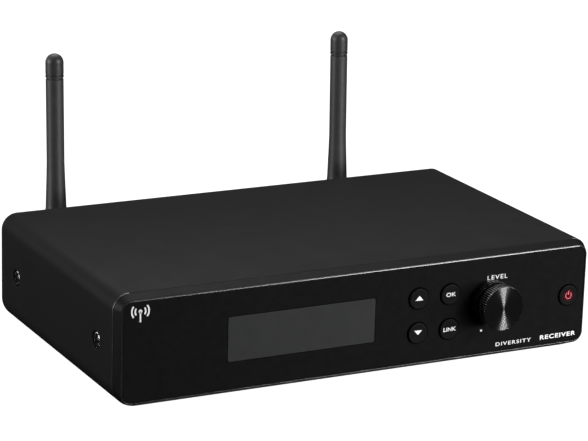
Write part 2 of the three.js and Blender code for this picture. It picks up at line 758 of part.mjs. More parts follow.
// The whip stands on a knuckle that fits between the fork's cheeks; its shoulder clears them. Friction
// in the hinge holds it, and it rests a little back from upright.
function whip(side) {
  const { root, shoulder, rootEnd, mid, midHeight, radius, top } = WHIP;
  const half = HINGE.knuckleWidth / 2;
  const end = WHIP_TIP.height - WHIP_TIP.length - GAP;
  const stem = cut(
    join(
      crossRod(HINGE.knuckle, -half, half),
      slab(2 * half, WHIP_NECK, 0, shoulder + CHAMFER),
      upright([
        [0, shoulder],
        [root, shoulder],
        [root, rootEnd],
        [mid, midHeight],
        [radius, top],
        [radius, end],
        [0, end],
      ]),
    ),
    crossRod(HINGE.pin + GAP, -BEYOND, BEYOND, 0, 0, SMALL_ROUND),
  );
  const pair = group(
    0,
    HINGE.y,
    0,
    mesh(`antenna_whip_${side}`, stem, antennaRubber()),
    mesh(`antenna_tip_${side}`, upright(tipProfile()), antennaRubber()),
  );
  pair.rotation.x = -THREE.MathUtils.degToRad(WHIP_LEAN);
  return pair;
}

// A cylinder under half a ball.
function tipProfile() {
  const { height, radius, length } = WHIP_TIP;
  const steps = 4;
  const ball = Array.from({ length: steps }, (_, i) => {
    const angle = (Math.PI / 2) * (i / steps);
    return [radius * Math.cos(angle), height - radius + radius * Math.sin(angle)];
  });
  return [[0, height - length], [radius, height - length], ...ball, [0, height]];
}

function antenna(sign, side) {
  return group(
    sign * ANTENNA_X,
    0,
    CONNECTOR_Z,
    ...antennaJack(side),
    bayonetRing(side),
    antennaElbow(side),
    hingePin(side),
    whip(side),
  );
}

// ---------------------------------------------------------------- assembly

const receiver = new THREE.Group();

receiver.add(housingSleeve(), chassisTray(), ...sideScrews(), mainBoard());

receiver.add(group(
  0,
  FRONT_Y,
  0,
  frontBezel(),
  fascia(),
  ...display(),
  frontBoard(),
  ...Object.entries(KEYS).map(([name, place]) => key(name, place)),
  volume(),
));

receiver.add(group(
  0,
  REAR_Y,
  0,
  rearPanel(),
  ...rearScrews(),
  balancedOutput(),
  lineOutput(),
  dataSocket(),
  dcInlet(),
  cableGrip(),
  antenna(-1, 'left'),
  antenna(1, 'right'),
));

export default receiver;
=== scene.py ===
"""Wireless receiver unit: the visible surfaces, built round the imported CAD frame.

Shapes are worked out in millimetres in the part's frame and scaled to metres when a mesh is made.
+Z is up, the front faces -Y and +X is to the right seen from the front.
"""
import math

import bmesh
import bpy
from mathutils import Matrix, Vector


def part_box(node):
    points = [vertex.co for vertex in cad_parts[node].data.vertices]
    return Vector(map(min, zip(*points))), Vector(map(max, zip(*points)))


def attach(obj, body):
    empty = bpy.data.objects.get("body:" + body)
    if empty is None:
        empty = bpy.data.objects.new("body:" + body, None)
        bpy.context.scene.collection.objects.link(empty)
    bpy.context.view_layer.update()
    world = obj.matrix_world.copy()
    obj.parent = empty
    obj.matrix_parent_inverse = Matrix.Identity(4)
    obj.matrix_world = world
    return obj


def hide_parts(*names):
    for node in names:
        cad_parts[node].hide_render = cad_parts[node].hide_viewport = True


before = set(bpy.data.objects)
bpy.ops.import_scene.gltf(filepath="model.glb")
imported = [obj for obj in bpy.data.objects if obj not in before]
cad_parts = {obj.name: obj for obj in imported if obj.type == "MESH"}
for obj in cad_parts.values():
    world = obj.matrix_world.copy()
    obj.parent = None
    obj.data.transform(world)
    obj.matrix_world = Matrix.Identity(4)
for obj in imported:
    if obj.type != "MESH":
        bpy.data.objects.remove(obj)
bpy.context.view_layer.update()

MM = 0.001
FINE = 64  # segments round a large turned piece
SMALL = 32  # segments round a small turned piece
SHARP = math.radians(34)  # edges that turn more than this are drawn sharp


# ---- the frame, in millimetres


def node_box(node):
    low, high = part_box(node)
    return low / MM, high / MM


def extent(node):
    """The node's lowest and highest corners, and its centre."""
    low, high = node_box(node)
    return low, high, (low + high) / 2


def node_centre(node):
    return extent(node)[2]


def on_axis(centre):
    """The origin of a shape turned about the line along Y through the centre."""
    return (centre.x, 0, centre.z)


SLEEVE_LOW, SLEEVE_HIGH = node_box("housing_sleeve")
BEZEL_LOW, BEZEL_HIGH = node_box("front_bezel")
FASCIA_LOW, FASCIA_HIGH = node_box("fascia")
WINDOW_LOW, WINDOW_HIGH = node_box("display_window")
PANEL_LOW, PANEL_HIGH = node_box("rear_panel")

FRONT = BEZEL_LOW.y  # the plane of the bezel's rim
REAR = SLEEVE_HIGH.y
MID_Z = (SLEEVE_LOW.z + SLEEVE_HIGH.z) / 2
WIDTH = SLEEVE_HIGH.x - SLEEVE_LOW.x
HEIGHT = SLEEVE_HIGH.z - SLEEVE_LOW.z
CORNER = (6.4, 9.4)  # the housing's upper and lower corners
WALL = 2.0
GAP = 0.3  # between pieces that touch in the real thing
FACE_INSET = 1.93  # how far the bezel's slant comes in
FACE_CORNER = 4.2
RIM = 0.65  # the width of the bezel's bright rim
WHIP_LEAN = math.radians(2)  # how far the whips rest back from upright
WHIP_HEIGHT = 77.5  # from the hinge to the tip
CAP_LENGTH = 9.9
PIN_BORE = 1.8
KEYS = ("up", "down", "enter", "link", "power")
SIDES = (("left", -1), ("right", 1))


# ---- mesh building


def facing_out(bm):
    bmesh.ops.recalc_face_normals(bm, faces=bm.faces)
    return bm


def add_object(name, data):
    item = bpy.data.objects.new(name, data)
    bpy.context.scene.collection.objects.link(item)
    return item


def lathe(profile, centre=(0, 0, 0), axis="Y", sides=FINE, closed=False):
    """A turned shape from (radius, distance along the axis) points; a point on the axis becomes a pole."""
    bm = bmesh.new()
    rings = []
    for radius, along in profile:
        count = 1 if radius < 1e-6 else sides
        ring = []
        for i in range(count):
            angle = 2 * math.pi * i / sides
            a, b = radius * math.sin(angle), radius * math.cos(angle)
            point = {"X": (along, a, b), "Y": (a, along, b), "Z": (a, b, along)}[axis]
            ring.append(bm.verts.new(Vector(centre) + Vector(point)))
        rings.append(ring)
    pairs = list(zip(rings, rings[1:]))
    if closed:
        pairs.append((rings[-1], rings[0]))
    for first, second in pairs:
        bridge(bm, first, second)
    return facing_out(bm)


def rod(radius, start, end, centre=(0, 0, 0), axis="Y", sides=FINE):
    """A plain cylinder between two places along the axis."""
    return lathe([(0, start), (radius, start), (radius, end), (0, end)], centre, axis, sides)


def bridge(bm, first, second, material=0):
    count = max(len(first), len(second))
    for i in range(count):
        j = (i + 1) % count
        if len(first) == 1:
            corners = [first[0], second[i], second[j]]
        elif len(second) == 1:
            corners = [first[i], second[0], first[j]]
        else:
            corners = [first[i], second[i], second[j], first[j]]
        bm.faces.new(corners).material_index = material


def shrunk(corner, inset):
    """The corner radius, or the upper and lower radii, of an outline moved in by the inset."""
    if isinstance(corner, tuple):
        return tuple(shrunk(radius, inset) for radius in corner)
    return max(corner - inset, 0.05)


def rounded_outline(width, height, corner, steps=12):
    """Points round a rectangle whose corners have one radius, or an upper and a lower radius."""
    upper, lower = corner if isinstance(corner, tuple) else (corner, corner)
    points = []
    for quarter, (sx, sz) in enumerate(((1, 1), (-1, 1), (-1, -1), (1, -1))):
        radius = upper if sz > 0 else lower
        cx, cz = sx * (width / 2 - radius), sz * (height / 2 - radius)
        for i in range(steps + 1):
            angle = (quarter + i / steps) * math.pi / 2
            points.append((cx + radius * math.cos(angle), cz + radius * math.sin(angle)))
    return points


def rounded_sweep(sections, x=0.0, z=None, closed=False, steps=12):
    """Rounded rectangles (y, width, height, corner[, material]) joined in order, capped or closed
    on itself. A section's material is that of the band that leads up to it."""
    z = MID_Z if z is None else z
    bm = bmesh.new()
    rings = []
    for y, width, height, corner, *_ in sections:
        outline = rounded_outline(width, height, corner, steps)
        rings.append([bm.verts.new((x + px, y, z + pz)) for px, pz in outline])
    materials = [section[4] if len(section) > 4 else 0 for section in sections]
    for i in range(1, len(rings)):
        bridge(bm, rings[i - 1], rings[i], materials[i])
    if closed:
        bridge(bm, rings[-1], rings[0], materials[0])
    else:
        bm.faces.new(rings[0])
        bm.faces.new(list(reversed(rings[-1])))
    return facing_out(bm)


def rounded_block(width, height, corner, y0, y1, edge, x=0.0, z=None, steps=6):
    """A rounded-rectangle block whose front and rear edges are eased by a two-step round."""
    mid = edge * (1 - math.sqrt(0.5))
    sections = []
    for y, sign in ((y0, 1), (y1, -1)):
        rows = [(y, edge + 0.05), (y, edge), (y + sign * mid, mid), (y + sign * edge, 0)]
        sections += rows if sign > 0 else rows[::-1]
    rows = [(y, width - 2 * i, height - 2 * i, shrunk(corner, i)) for y, i in sections]
    return rounded_sweep(rows, x, z, steps=steps)


def prism(points, y0, y1):
    """A flat outline of (x, z) points made solid between y0 and y1."""
    bm = bmesh.new()
    front = [bm.verts.new((x, y0, z)) for x, z in points]
    back = [bm.verts.new((x, y1, z)) for x, z in points]
    bm.faces.new(front)
    bm.faces.new(back[::-1])
    bridge(bm, front, back)
    return facing_out(bm)


def cuboid(low, high):
    (x0, y0, z0), (x1, y1, z1) = low, high
    return prism([(x0, z0), (x1, z0), (x1, z1), (x0, z1)], y0, y1)


def merged(*shapes):
    """Several closed shapes in one mesh, each left as it is."""
    whole = bmesh.new()
    for shape in shapes:
        part = bpy.data.meshes.new("part")
        shape.to_mesh(part)
        shape.free()
        whole.from_mesh(part)
        bpy.data.meshes.remove(part)
    return whole


def moved(bm, offset=(0, 0, 0), turn=None):
    if turn is not None:
        bmesh.ops.transform(bm, matrix=turn, verts=bm.verts)
    bmesh.ops.translate(bm, vec=Vector(offset), verts=bm.verts)
    return bm


def scratch_object(bm):
    mesh = bpy.data.meshes.new("scratch")
    bm.to_mesh(mesh)
    bm.free()
    return add_object("scratch", mesh)


def boolean(bm, others, operation):
    """The shape joined with or cut by the others, each a closed shape, with the exact solver."""
    target = scratch_object(bm)
    tools = [scratch_object(other) for other in others]
    for tool in tools:
        modifier = target.modifiers.new("boolean", "BOOLEAN")
        modifier.operation = operation
        modifier.solver = "EXACT"
        modifier.object = tool
    graph = bpy.context.evaluated_depsgraph_get()
    graph.update()
    result = bmesh.new()
    result.from_mesh(target.evaluated_get(graph).to_mesh())
    target.evaluated_get(graph).to_mesh_clear()
    for item in (target, *tools):
        mesh = item.data
        bpy.data.objects.remove(item)
        bpy.data.meshes.remove(mesh)
    return result


def cut(bm, *tools):
    return boolean(bm, tools, "DIFFERENCE")


def joined(bm, *others):
    return boolean(bm, others, "UNION")


def piece(name, bm, materials, body, stands_for=(), bevel=0.0):
    """Make the object, shaded smooth up to the sharp angle; tie it to its body, hide what it stands for."""
    bmesh.ops.scale(bm, vec=(MM, MM, MM), verts=bm.verts)
    mesh = bpy.data.meshes.new(name)
    bm.to_mesh(mesh)
    bm.free()
    for material in materials:
        mesh.materials.append(material)
    mesh.polygons.foreach_set("use_smooth", [True] * len(mesh.polygons))
    mesh.set_sharp_from_angle(angle=SHARP)
    item = add_object(name, mesh)
    if bevel:
        modifier = item.modifiers.new("eased_edges", "BEVEL")
        modifier.width = bevel * MM
        modifier.segments = 2
        modifier.limit_method = "ANGLE"
        modifier.angle_limit = SHARP
        modifier.harden_normals = True
    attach(item, body)
    if stands_for:
        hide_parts(*stands_for)
    return item


# ---- materials


def fill_in(node, settings):
    for socket, value in settings.items():
        node.inputs[socket].default_value = value


def surface(name, colour, roughness, metallic=0.0, specular=0.5, anisotropy=0.0, grain=None, mottle=None,
            wear=None, emission=0.0):
    """A principled material. grain is (size mm, bump height mm), mottle is (size mm, share of the colour),
    and wear is (size mm, spread of the roughness)."""
    material = bpy.data.materials.new(name)
    material.use_nodes = True
    tree = material.node_tree
    shader = tree.nodes["Principled BSDF"]
    fill_in(shader, {"Base Color": (*colour, 1), "Roughness": roughness, "Metallic": metallic,
                     "Specular IOR Level": specular, "Anisotropic": anisotropy})
    if emission:
        fill_in(shader, {"Emission Color": (*colour, 1), "Emission Strength": emission})
    place = tree.nodes.new("ShaderNodeTexCoord").outputs["Object"]

    def noise(size, detail=3.0):
        node = tree.nodes.new("ShaderNodeTexNoise")
        fill_in(node, {"Scale": 1 / (size * MM), "Detail": detail})
        tree.links.new(place, node.inputs["Vector"])
        return node.outputs["Fac"]

    def ranged(value, low, high):
        node = tree.nodes.new("ShaderNodeMapRange")
        usual_low, usual_high = 0.3, 0.7  # noise seldom leaves this span
        fill_in(node, {"From Min": usual_low, "From Max": usual_high, "To Min": low, "To Max": high})
        tree.links.new(value, node.inputs["Value"])
        return node.outputs["Result"]

    if mottle:
        size, share = mottle
        mix = tree.nodes.new("ShaderNodeMix")
        mix.data_type = "RGBA"
        mix.inputs["A"].default_value = (*[c * (1 - share) for c in colour], 1)
        mix.inputs["B"].default_value = (*[c * (1 + share) for c in colour], 1)
        tree.links.new(ranged(noise(size), 0, 1), mix.inputs["Factor"])
        tree.links.new(mix.outputs["Result"], shader.inputs["Base Color"])
    if wear:
        size, spread = wear
        worn = ranged(noise(size, 5.0), roughness - spread, roughness + spread)
        tree.links.new(worn, shader.inputs["Roughness"])
    if grain:
        size, height = grain
        bump = tree.nodes.new("ShaderNodeBump")
        fill_in(bump, {"Distance": height * MM, "Strength": 1.0})
        tree.links.new(noise(size, 2.0), bump.inputs["Height"])
        tree.links.new(bump.outputs["Normal"], shader.inputs["Normal"])
    return material


def spun(name, tone, roughness):
    """Metal turned on a lathe: its fine rings stretch each highlight across themselves."""
    colour = (tone, tone, tone * 1.02)
    material = surface(name, colour, roughness, metallic=1.0, anisotropy=1.0, mottle=(1.5, 0.04))
    tree = material.node_tree
    shader = tree.nodes["Principled BSDF"]
    shader.inputs["Anisotropic Rotation"].default_value = 0.25  # a quarter turn, from round to across
    tangent = tree.nodes.new("ShaderNodeTangent")
    tangent.direction_type = "RADIAL"
    tangent.axis = "Y"
    tree.links.new(tangent.outputs["Tangent"], shader.inputs["Tangent"])
    return material


def make_materials():
    return {
        "sleeve": surface("sleeve_paint", (0.0075, 0.007, 0.0079), 0.6, specular=0.12,
                          grain=(0.5, 0.012), mottle=(1.1, 0.12), wear=(14, 0.03)),
        # the front edge's lighter, glossier paint is a painted highlight
        "edge": surface("sleeve_edge_painted_highlight", (0.015, 0.015, 0.0158), 0.4, specular=1.0,
                        grain=(0.4, 0.003), mottle=(2.0, 0.1), wear=(9, 0.06)),
        # near-black painted shade, for the screws' recesses and the knob's valleys, groove and back
        "painted_shade": surface("painted_recess_shade", (0.003, 0.003, 0.003), 0.8, specular=0.05, mottle=(1.0, 0.1)),
        "rear": surface("rear_paint", (0.016, 0.016, 0.017), 0.55, specular=0.35,
                        grain=(0.45, 0.02), mottle=(0.9, 0.12), wear=(10, 0.05)),
        "bezel": surface("bezel_plastic", (0.0046, 0.0046, 0.005), 0.5, specular=0.12,
                         grain=(0.35, 0.006), mottle=(0.8, 0.1), wear=(8, 0.04)),
        "rim": surface("bezel_rim", (0.018, 0.018, 0.0188), 0.24, specular=1.0,
                       grain=(1.5, 0.001), mottle=(3.0, 0.1), wear=(12, 0.03)),
        "fascia": surface("fascia_plastic", (0.0062, 0.0062, 0.0064), 0.5, specular=0.03,
                          grain=(0.3, 0.005), mottle=(2.5, 0.12), wear=(18, 0.05)),
        "window": surface("display_window", (0.026, 0.0264, 0.027), 0.5, specular=0.1,
                          grain=(2.5, 0.002), mottle=(5.0, 0.05), wear=(7, 0.02)),
        "key": surface("key_rubber", (0.0062, 0.0062, 0.0064), 0.5, specular=0.06,
                       grain=(0.25, 0.006), mottle=(0.7, 0.12), wear=(2, 0.05)),
        "ink": surface("white_ink", (0.75, 0.75, 0.745), 0.5, mottle=(0.4, 0.04), grain=(0.2, 0.002)),
        "red": surface("red_lens", (0.55, 0.16, 0.17), 0.35, emission=0.05, mottle=(0.5, 0.1)),
        "red_glow": surface("red_glow", (0.058, 0.0015, 0.006), 0.5, specular=0.1, mottle=(0.5, 0.1)),
        "knob": surface("knob_grip", (0.9, 0.9, 0.905), 0.3, metallic=1.0,
                        grain=(0.25, 0.003), mottle=(0.8, 0.1), wear=(2, 0.05)),
        "knob_face": spun("knob_face", 0.7, 0.16),
        "antenna": surface("antenna_rubber", (0.028, 0.028, 0.03), 0.48, specular=0.7,
                           grain=(0.35, 0.006), mottle=(1.2, 0.12), wear=(5, 0.05)),
        "tip": surface("antenna_cap", (0.0245, 0.0245, 0.0265), 0.48, specular=0.55,
                       grain=(0.35, 0.004), mottle=(1.2, 0.12), wear=(5, 0.05)),
        "polished": surface("polished_steel", (0.95, 0.95, 0.95), 0.22, metallic=1.0, grain=(0.4, 0.002),
                            mottle=(0.8, 0.08), wear=(1.5, 0.08)),
        "plastic": surface("black_plastic", (0.006, 0.006, 0.0062), 0.42,
                           grain=(0.3, 0.006), mottle=(0.9, 0.15), wear=(3, 0.06)),
        "board": surface("circuit_board", (0.012, 0.06, 0.024), 0.45, grain=(0.8, 0.01), mottle=(1.5, 0.2)),
        "tin": surface("tin_plate", (0.55, 0.56, 0.57), 0.36, metallic=1.0,
                       grain=(0.8, 0.004), mottle=(3.0, 0.06), wear=(5, 0.08)),
        "nickel": surface("nickel_plate", (0.62, 0.61, 0.58), 0.24, metallic=1.0, grain=(0.5, 0.002),
                          mottle=(2.0, 0.05), wear=(3, 0.07)),
        "steel": surface("black_steel", (0.045, 0.045, 0.047), 0.36, metallic=0.9, grain=(0.3, 0.004),
                         mottle=(0.8, 0.15), wear=(2, 0.08)),
        "gold": surface("contact_gold", (0.8, 0.55, 0.18), 0.25, metallic=1.0,
                        mottle=(1.0, 0.06), wear=(2, 0.06)),
        "cable": surface("cable_grey", (0.24, 0.25, 0.26), 0.55, grain=(0.5, 0.01), mottle=(2.0, 0.08)),
    }


# ---- housing


def side_screw_places():
    for side, sign in SIDES:
        for end in ("front", "rear"):
            centre = node_centre(f"side_screw_{side}_{end}")
            yield side, sign, end, centre.y, centre.z


def housing_sleeve(m):
    """The tube, with a sunk hole for each side screw."""
    y0, y1 = SLEEVE_LOW.y, SLEEVE_HIGH.y
    ease, mid = 0.3, 0.09
    rows = [
        (y0, ease, 1), (y0 + mid, mid, 1), (y0 + ease, 0, 1), (y1 - ease, 0, 0), (y1 - mid, mid, 0),
        (y1, ease, 0), (y1, WALL - 0.2, 0), (y1 - 0.2, WALL, 0), (y0 + 0.2, WALL, 0), (y0, WALL - 0.2, 0),
    ]
    sections = [(y, WIDTH - 2 * i, HEIGHT - 2 * i, shrunk(CORNER, i), band) for y, i, band in rows]
    bm = rounded_sweep(sections, closed=True, steps=16)
    face = WIDTH / 2
    for flat in bm.faces:  # painted highlight: the lighter front edge only round the corners and sides
        if abs(flat.calc_center_median().x) < face - CORNER[0]:
            flat.material_index = 0
    recess, floor, bore, inside = 3.5, face - 1.4, 1.8, face - 4
    hole = [(0, face + 1), (recess + 1.1, face + 1), (recess + 0.25, face + 0.02), (recess, face - 0.22),
            (recess, floor), (bore, floor), (bore, inside), (0, inside)]
    cutters = []
    for _, sign, _, y, z in side_screw_places():
        cutters.append(lathe([(radius, sign * x) for radius, x in hole], (0, y, z), "X", sides=40))
    materials = [m["sleeve"], m["edge"]]
    piece("sleeve_skin", cut(bm, *cutters), materials, "root", ["housing_sleeve"])


def front_bezel(m):
    """The slanted frame, with the rounded rim that carries the highlight round the front panel."""
    w, h = WIDTH, HEIGHT
    lip = WALL + GAP
    lip_w, lip_h, lip_corner = w - 2 * lip, h - 2 * lip, shrunk(CORNER, lip)
    depth, step, rim_back = SLEEVE_LOW.y - FRONT, 0.2, 0.36
    face_w, face_h = w - 2 * FACE_INSET, h - 2 * FACE_INSET
    pocket_w, pocket_h, pocket_corner = face_w - 2 * RIM, face_h - 2 * RIM, FACE_CORNER - RIM
    pocket_floor = FRONT + 2.3
    opening_w, opening_h, opening_corner = 193.6, 35, 3
    sections = [
        (BEZEL_HIGH.y, lip_w, lip_h, lip_corner),
        (FRONT + depth - 0.02, lip_w, lip_h, lip_corner),
        (FRONT + depth - 0.02, w - 0.7, h - 0.7, shrunk(CORNER, 0.35)),
    ]
    for t in (0, 0.3, 0.6, 0.9, 0.98, 1):
        inset = step + t * (FACE_INSET - step - 0.12)
        corner = tuple(radius + t * (FACE_CORNER + 0.1 - radius) for radius in shrunk(CORNER, step))
        y = FRONT + depth - 0.15 - t * (depth - 0.15 - rim_back)
        sections.append((y, w - 2 * inset, h - 2 * inset, corner))
    for across, back in ((0.14, 0.27), (0.3, 0.15), (0.58, 0.02), (0.62, 0.0), (0.70, 0.02)):
        inset = FACE_INSET - 0.12 + across
        sections.append((FRONT + back, w - 2 * inset, h - 2 * inset, FACE_CORNER - across, 1))
    sections += [
        (FRONT + 0.15, pocket_w, pocket_h, pocket_corner, 1),
        (pocket_floor, pocket_w, pocket_h, pocket_corner),
        (pocket_floor, opening_w, opening_h, opening_corner),
        (BEZEL_HIGH.y, opening_w, opening_h, opening_corner),
    ]
    bm = rounded_sweep(sections, closed=True, steps=16)
    piece("bezel_frame", bm, [m["bezel"], m["rim"]], "root", ["front_bezel"])


def side_screws(m):
    """Bright domed heads with a cross recess, sunk in the sleeve's side, with painted shade in the cross
    and round the head.
    """
    top, seat = WIDTH / 2 - 0.05, WIDTH / 2 - 1.25
    head, dome, shank, end_of_shank = 3.0, 0.5, 1.5, seat - 6
    reach, half_width, cross_depth, play = 2.6, 0.8, 0.85, 0.04
    turn = Matrix.Rotation(math.radians(12), 4, "X")
    for side, sign, end, y, z in side_screw_places():
        node = f"side_screw_{side}_{end}"
        profile = [(0, top)]
        for share in (0.35, 0.6, 0.8, 0.93):
            profile.append((head * share, top - dome * share ** 2.4))
        profile += [(head, top - dome - 0.15), (head, seat), (shank, seat), (shank, end_of_shank),
                    (0, end_of_shank)]
        screw = lathe([(radius, sign * x) for radius, x in profile], (0, y, z), "X", SMALL)
        arms, fills = [], []
        for dy, dz in ((reach, half_width), (half_width, reach)):
            arm = moved(cuboid((-cross_depth, -dy, -dz), (cross_depth, dy, dz)), turn=turn)
            arms.append(moved(arm, (sign * top, y, z)))
            fill = cuboid((-0.2, play - dy, play - dz), (0.2, dy - play, dz - play))
            fills.append(moved(fill, turn=turn))
        piece(f"{node}_head", cut(screw, *arms), [m["polished"]], "root", [node], bevel=0.05)
        # painted shade: a black cross deep in the cross recess and a black ring round the head
        cross = moved(joined(*fills), (sign * (top - 0.62), y, z))
        moat = [(head + 0.05, seat + 0.05), (head + 0.45, seat + 0.05), (head + 0.45, seat + 0.9),
                (head + 0.05, seat + 0.9)]
        ring = lathe([(radius, sign * x) for radius, x in moat], (0, y, z), "X", SMALL, closed=True)
        piece(f"{node}_recess", merged(cross, ring), [m["painted_shade"]], "root")


# ---- front panel


def fascia(m):
    """The flat panel in the bezel's pocket, open for the keys, the knob and the window."""
    inset = FACE_INSET + RIM + 0.15
    y0, y1 = FASCIA_LOW.y, FASCIA_HIGH.y
    bm = rounded_block(WIDTH - 2 * inset, HEIGHT - 2 * inset, FACE_CORNER - RIM, y0, y1, 0.12, steps=10)
    cutters = [flared_hole(4.5, y0, y1, node_centre(f"{key}_key")) for key in KEYS]
    cutters.append(flared_hole(4.6, y0, y1, node_centre("volume_knob")))
    size = WINDOW_HIGH - WINDOW_LOW
    middle = (WINDOW_HIGH + WINDOW_LOW) / 2
    window = [(y0 - 1, size.x + 2.3, size.z + 2.3, 1.95), (y0 + 0.12, size.x + 0.2, size.z + 0.2, 0.9),
              (y1 + 1, size.x + 0.2, size.z + 0.2, 0.9)]
    cutters.append(rounded_sweep(window, middle.x, middle.z, steps=6))
    piece("front_panel", cut(bm, *cutters), [m["fascia"]], "root", ["fascia"])


def flared_hole(radius, y0, y1, centre, flare=0.14):
    """The cutter for a round hole whose front edge is eased."""
    profile = [(0, y0 - 1), (radius + flare + 1, y0 - 1), (radius, y0 + flare), (radius, y1 + 1),
               (0, y1 + 1)]
    return lathe(profile, on_axis(centre))


def display(m):
    size = WINDOW_HIGH - WINDOW_LOW
    middle = (WINDOW_HIGH + WINDOW_LOW) / 2
    glass = rounded_block(size.x - 0.1, size.z - 0.1, 0.8, WINDOW_LOW.y - 0.03, WINDOW_HIGH.y, 0.16,
                          middle.x, middle.z)
    piece("window_lens", glass, [m["window"]], "root", ["display_window"])
    low, high, centre = extent("display_module")
    module = rounded_block(high.x - low.x, high.z - low.z, 1.0, low.y, high.y, 0.3, centre.x, centre.z)
    piece("display_frame", module, [m["tin"]], "root", ["display_module"])


def key_cap(m, key):
    """A matt cap with a soft edge and a faint dish, so that its rim draws a thin line of light."""
    low, high, centre = extent(f"{key}_key")
    front, flange, flange_end = low.y, FRONT + 2.3, FRONT + 3.1
    radius, edge, flange_radius, stem = 4.2, 0.5, 4.7, 1.2
    profile = [(0, front + 0.1), (2.4, front + 0.09), (radius - edge - 0.35, front + 0.03),
               (radius - edge, front)]
    for degrees in (25, 50, 75, 90):
        a = math.radians(degrees)
        profile.append((radius - edge * (1 - math.sin(a)), front + edge * (1 - math.cos(a))))
    profile += [(radius, flange), (flange_radius, flange), (flange_radius, flange_end), (stem, flange_end),
                (stem, high.y), (0, high.y)]
    cap = lathe(profile, on_axis(centre))
    piece(f"{key}_cap", cap, [m["key"]], f"{key}_key", [f"{key}_key"])
    return centre, front


INK = 0.03  # the thickness of printing


def text_shape(words, height, x, z, y, bold=0.0, stretch=1.0, spacing=1.0, facing=-1):
    """Plain capitals centred on (x, z), as a thin layer of ink that faces -Y, or +Y for facing=1."""
    curve = bpy.data.curves.new("words", "FONT")
    curve.body = words
    curve.align_x = "CENTER"
    curve.align_y = "CENTER"
    curve.size = height / 0.7
    curve.space_character = spacing
    curve.offset = bold
    curve.extrude = INK / 2
    curve.resolution_u = 4
    item = add_object("words", curve)
    graph = bpy.context.evaluated_depsgraph_get()
    graph.update()
    bm = bmesh.new()
    bm.from_mesh(item.evaluated_get(graph).to_mesh())
    item.evaluated_get(graph).to_mesh_clear()
    bpy.data.objects.remove(item)
    bpy.data.curves.remove(curve)
    bmesh.ops.scale(bm, vec=(stretch, 1, 1), verts=bm.verts)
    turn = Matrix.Rotation(math.pi / 2, 4, "X")
    if facing > 0:
        turn = Matrix.Rotation(math.pi, 4, "Z") @ turn
    return moved(bm, (x, y, z), turn)


def arc_band(x, z, inner, outer, start, end, y, steps=24):
    """A flat arc of ink; the angles are in degrees, counted clockwise from straight up."""
    points = []
    for radius, order in ((outer, range(steps + 1)), (inner, range(steps, -1, -1))):
        for i in order:
            angle = math.radians(start + (end - start) * i / steps)
            points.append((x + radius * math.sin(angle), z + radius * math.cos(angle)))
    return prism(points, y - INK / 2, y + INK / 2)


def strip(x, z, width, height, y):
    """A flat upright rectangle of ink."""
    low = (x - width / 2, y - INK / 2, z - height / 2)
    return cuboid(low, (x + width / 2, y + INK / 2, z + height / 2))


def keys(m):
    for key in KEYS:
        centre, front = key_cap(m, key)
        x, y, z = centre.x, front + INK, centre.z
        shape, ink = key_symbol(key, x, z, y)
        piece(f"{key}_symbol", shape, [m[ink]], f"{key}_key")
        if key == "power":
            # a dark red disc round the sign paints the glow of the lamp behind it
            glow = arc_band(x, z, 0, 2.15, 0, 360, y + INK, 40)
            piece("power_glow", glow, [m["red_glow"]], "power_key")


def key_symbol(key, x, z, y):
    """The mark on a key, a triangle, the power sign or a word, and the name of its material."""
    if key in ("up", "down"):
        half_width, half_height, middle = 1.7, 0.92 if key == "up" else -0.92, z + 0.35
        points = [(x - half_width, middle - half_height), (x + half_width, middle - half_height),
                  (x, middle + half_height)]
        return prism(points, y - INK / 2, y + INK / 2), "ink"
    if key == "power":
        ring = arc_band(x, z, 1.12, 1.42, 32, 328, y, 40)
        return merged(ring, strip(x, z + 1.2, 0.32, 1.5, y)), "red"
    words, stretch = {"enter": ("OK", 1.3), "link": ("LINK", 1.15)}[key]
    return text_shape(words, 1.55, x, z, y, bold=0.04, stretch=stretch), "ink"


def front_prints(m):
    y = FASCIA_LOW.y - INK / 2
    knob_at = node_centre("volume_knob")
    words = text_shape("LEVEL", 1.75, knob_at.x + 2.7, knob_at.z + 9.5, y, stretch=1.22, spacing=1.22)
    piece("level_label", words, [m["ink"]], "root")
    dot = strip(knob_at.x - 3.5, knob_at.z - 11.5, 0.8, 0.8, y)
    piece("knob_stop_dot", dot, [m["ink"]], "root")
    right, line = FASCIA_HIGH.x - 2.6, FASCIA_LOW.z + 2.6
    first = text_shape("DIVERSITY", 1.45, right - 28.5, line, y, bold=0.02, stretch=1.42, spacing=1.22)
    second = text_shape("RECEIVER", 1.7, right - 8.1, line + 0.2, y, bold=0.06, stretch=1.4, spacing=1.16)
    piece("kind_label", merged(first, second), [m["ink"]], "root")
    mast_sign(m, FASCIA_LOW.x + 6.6, FASCIA_HIGH.z - 4.95, y)


def mast_sign(m, x, z, y):
    """A mast with two waves on each side, the usual sign for radio."""
    top, stroke, half_span = z + 1.35, 0.62, 38
    parts = [strip(x, z - 0.7, stroke, 4.1, y), arc_band(x, top, 0, 0.75, 0, 360, y, 20)]
    for direction in (90, 270):
        for radius in (1.75, 3.1):
            start, end = direction - half_span, direction + half_span
            parts.append(arc_band(x, top, radius, radius + stroke, start, end, y, 16))
    piece("radio_sign", merged(*parts), [m["ink"]], "root")


def ribbed_rings(bm, centre, rows, ribs, per_rib, depth, sharpness=1.0):
    """Rings of vertices round the Y axis, from rows of (y, radius, share of the rib depth that shows)."""
    sides = ribs * per_rib
    rings = []
    for y, radius, share in rows:
        ring = []
        for i in range(1 if radius == 0 else sides):
            angle = 2 * math.pi * i / sides
            wave = 0.5 - 0.5 * math.cos(angle * ribs)
            out = radius - depth * share * wave ** sharpness
            x, z = centre.x + out * math.sin(angle), centre.z + out * math.cos(angle)
            ring.append(bm.verts.new((x, y, z)))
        rings.append(ring)
    return rings


GRIP, FACE, SHADE = 0, 1, 2  # the knob's materials; the third is painted shade
